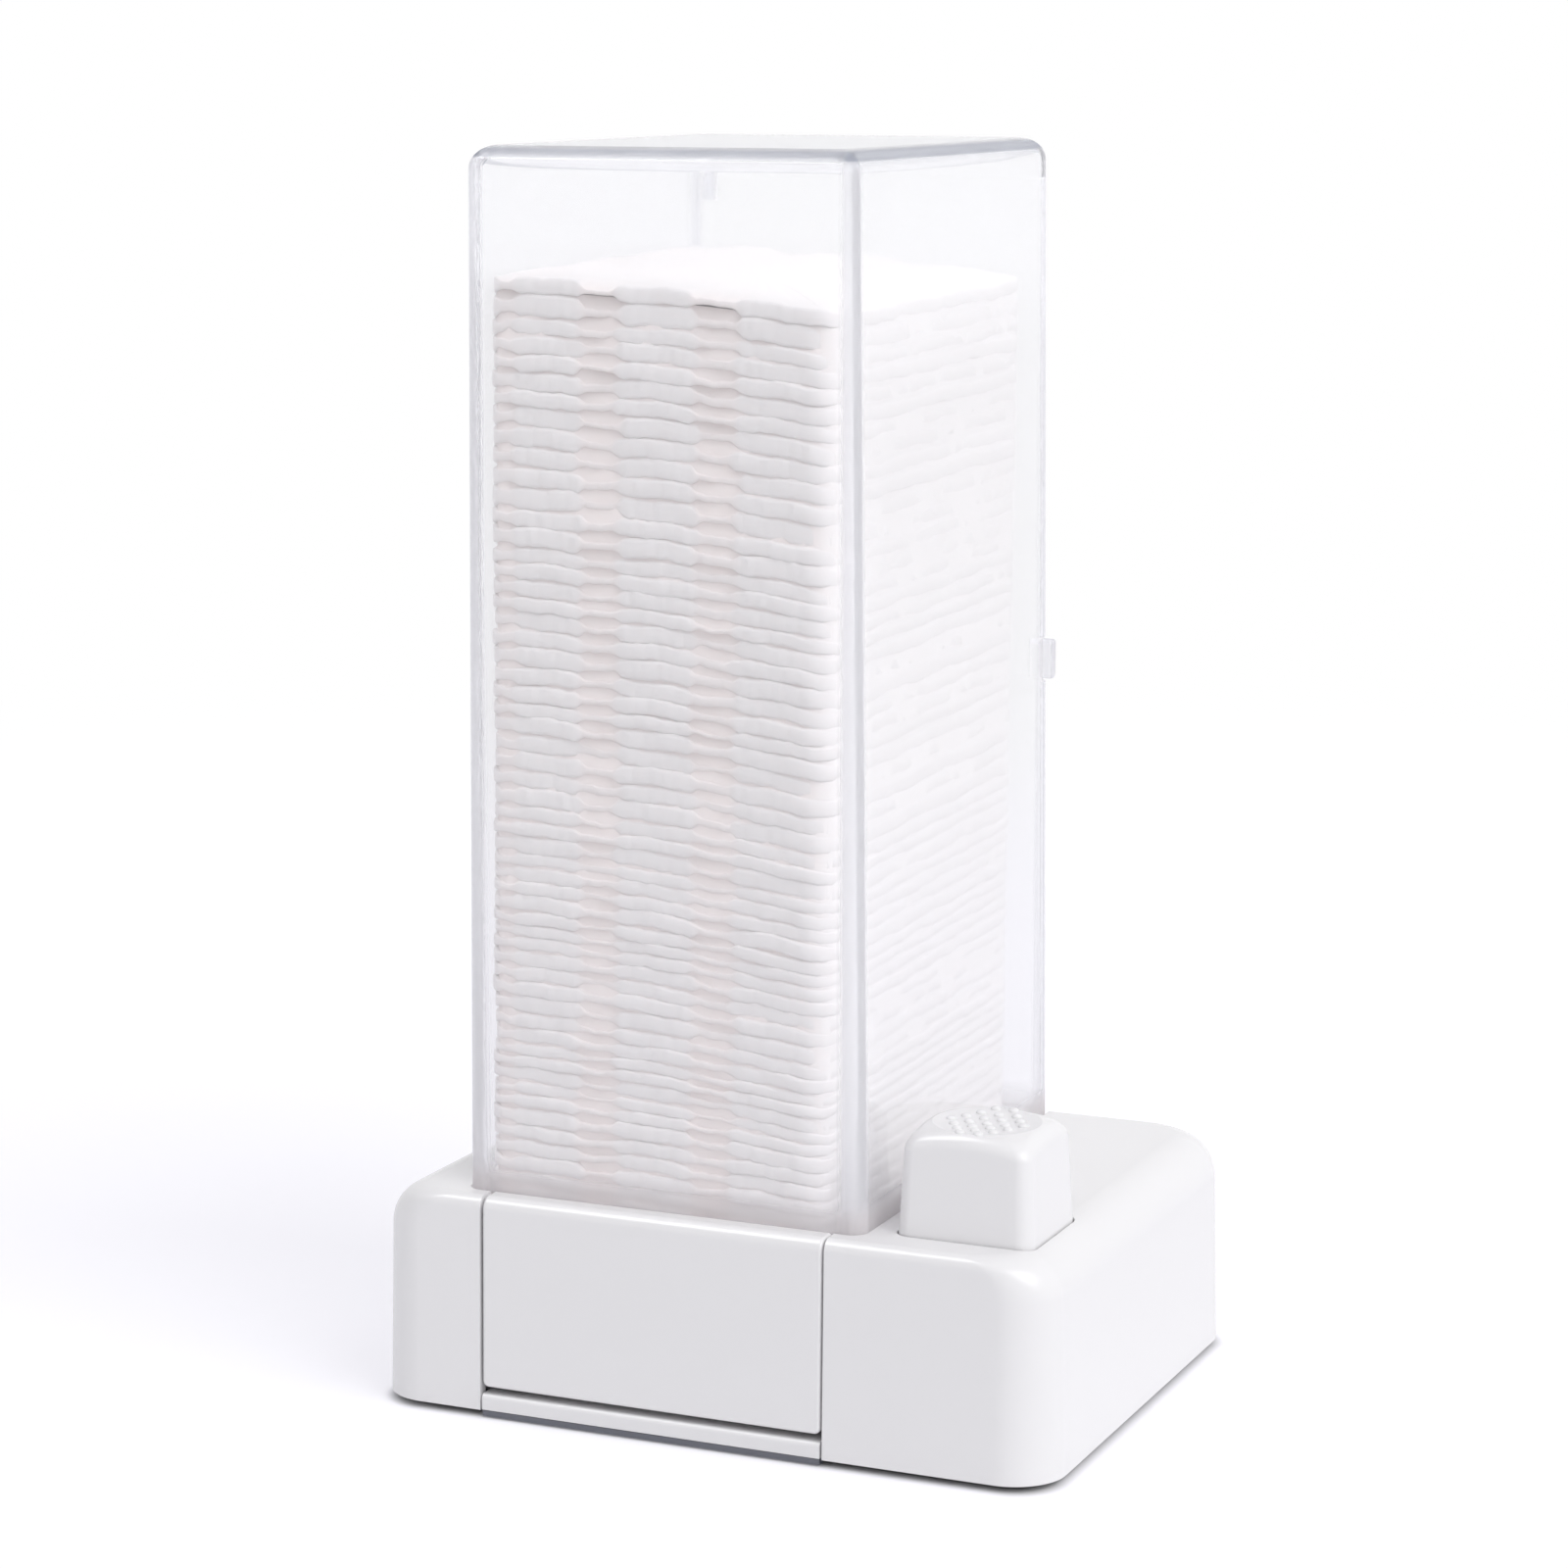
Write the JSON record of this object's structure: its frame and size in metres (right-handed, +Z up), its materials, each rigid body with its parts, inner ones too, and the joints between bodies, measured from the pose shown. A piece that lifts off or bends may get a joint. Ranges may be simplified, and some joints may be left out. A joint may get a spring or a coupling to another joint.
{
  "type": "cotton pad holder",
  "caption": "Free-standing push-button cotton pad holder: a clear tower of square pads on a white base, with a sliding tray that brings the lowest pad out of a front slot.",
  "frame": {"origin": "on the ground, under the middle of the base", "axes": "+Z up, -Y towards the front panel and the output slot, +X towards the button"},
  "size_m": [0.117, 0.091, 0.203],
  "materials": {
    "white_shell": "satin",
    "clear_wall": "clear",
    "dark_plate": "matte",
    "gear_plastic": "matte",
    "rubber": "matte",
    "steel": "bright",
    "cotton": "soft fibre"
  },
  "bodies": {
    "base": {"base_shell": "white_shell", "front_panel": "white_shell", "bottom_plate": "dark_plate", "feet": "rubber", "plate_screws": "steel", "pad_well": "white_shell", "tray_rails": "gear_plastic", "pad_stack": "cotton", "guide_post": "gear_plastic", "button_spring": "steel", "gear_bracket": "white_shell", "bracket_screws": "steel", "idler_axle": "steel", "drive_axle": "steel", "tower_shell": "clear_wall", "door_pins": "steel"},
    "button": {"button_cap": "white_shell", "button_rack": "gear_plastic"},
    "idler": {"idler_gear": "gear_plastic"},
    "drive": {"drive_gear": "gear_plastic"},
    "slider": {"tray": "white_shell", "tray_grips": "rubber", "tray_rack": "gear_plastic", "rack_screw": "steel", "lowest_pad": "cotton"},
    "door": {"rear_door": "clear_wall"}
  },
  "joints": [
    {"name": "button_press", "type": "slide", "parent": "base", "child": "button", "axis": [0, 0, -1], "range_m": [0, 0.012], "stiffness_N_per_m": 150, "springref_m": -0.01, "deforming": ["button_spring"]},
    {"name": "idler_spin", "type": "hinge", "parent": "base", "child": "idler", "pos_m": [0.0338, -0.0115, 0.016], "axis": [1, 0, 0], "range_deg": [0, 115]},
    {"name": "drive_spin", "type": "hinge", "parent": "base", "child": "drive", "pos_m": [0.0363, -0.00052, 0.0166], "axis": [1, 0, 0], "range_deg": [-138, 0]},
    {"name": "tray_slide", "type": "slide", "parent": "base", "child": "slider", "axis": [0, -1, 0], "range_m": [0, 0.024]},
    {"name": "door_swing", "type": "hinge", "parent": "base", "child": "door", "pos_m": [-0.03728, 0.042, 0.11], "axis": [0, 0, 1], "range_deg": [0, 100]}
  ],
  "couplings": [
    {"joint": "idler_spin", "follows": "button_press", "rad_per_m": 166.67},
    {"joint": "drive_spin", "follows": "button_press", "rad_per_m": -200},
    {"joint": "tray_slide", "follows": "button_press", "ratio": 2}
  ]
}
